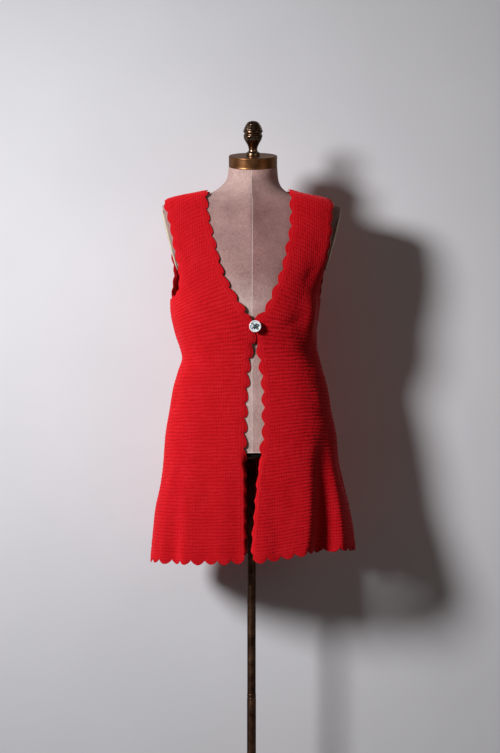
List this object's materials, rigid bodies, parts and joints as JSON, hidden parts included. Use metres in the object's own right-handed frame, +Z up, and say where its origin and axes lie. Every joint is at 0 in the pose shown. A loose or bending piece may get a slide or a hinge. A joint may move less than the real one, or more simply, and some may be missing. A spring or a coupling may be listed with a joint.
{
  "type": "sweater vest on dress form",
  "caption": "Long sleeveless crocheted vest with scalloped edges and a button front, worn open below the waist by a limbless linen dress form on a pole stand.",
  "frame": {"origin": "on the floor under the middle of the object, on the stand pole's axis to within 3 mm", "axes": "+Z up along the pole, -Y to the front of the garment, +X to the wearer's left"},
  "size_m": [0.4396, 0.34, 1.565],
  "materials": {
    "red_wool": "soft matt red crochet in horizontal ribs, with scalloped shell edging",
    "pearl_button": "pearly rim round a dark mottled glossy centre",
    "linen_cover": "dusty pink-grey stretched linen with pale seams",
    "antique_bronze": "dark antique bronze, rubbed brighter on edges",
    "dark_board": "dark stained board"
  },
  "bodies": {
    "root": {"right_front": "red_wool", "left_front": "red_wool", "back": "red_wool", "right_front_edging": "red_wool", "left_front_edging": "red_wool", "back_neck_edging": "red_wool", "right_armhole_edging": "red_wool", "left_armhole_edging": "red_wool", "hem_edging": "red_wool", "button": "pearl_button", "form_torso": "linen_cover", "form_arm_plate_right": "linen_cover", "form_arm_plate_left": "linen_cover", "form_neck_cap": "antique_bronze", "form_finial": "antique_bronze", "form_bottom_board": "dark_board", "stand_flange": "antique_bronze", "stand_pole_upper": "antique_bronze", "stand_pole_lower": "antique_bronze", "stand_foot": "antique_bronze"}
  },
  "joints": []
}
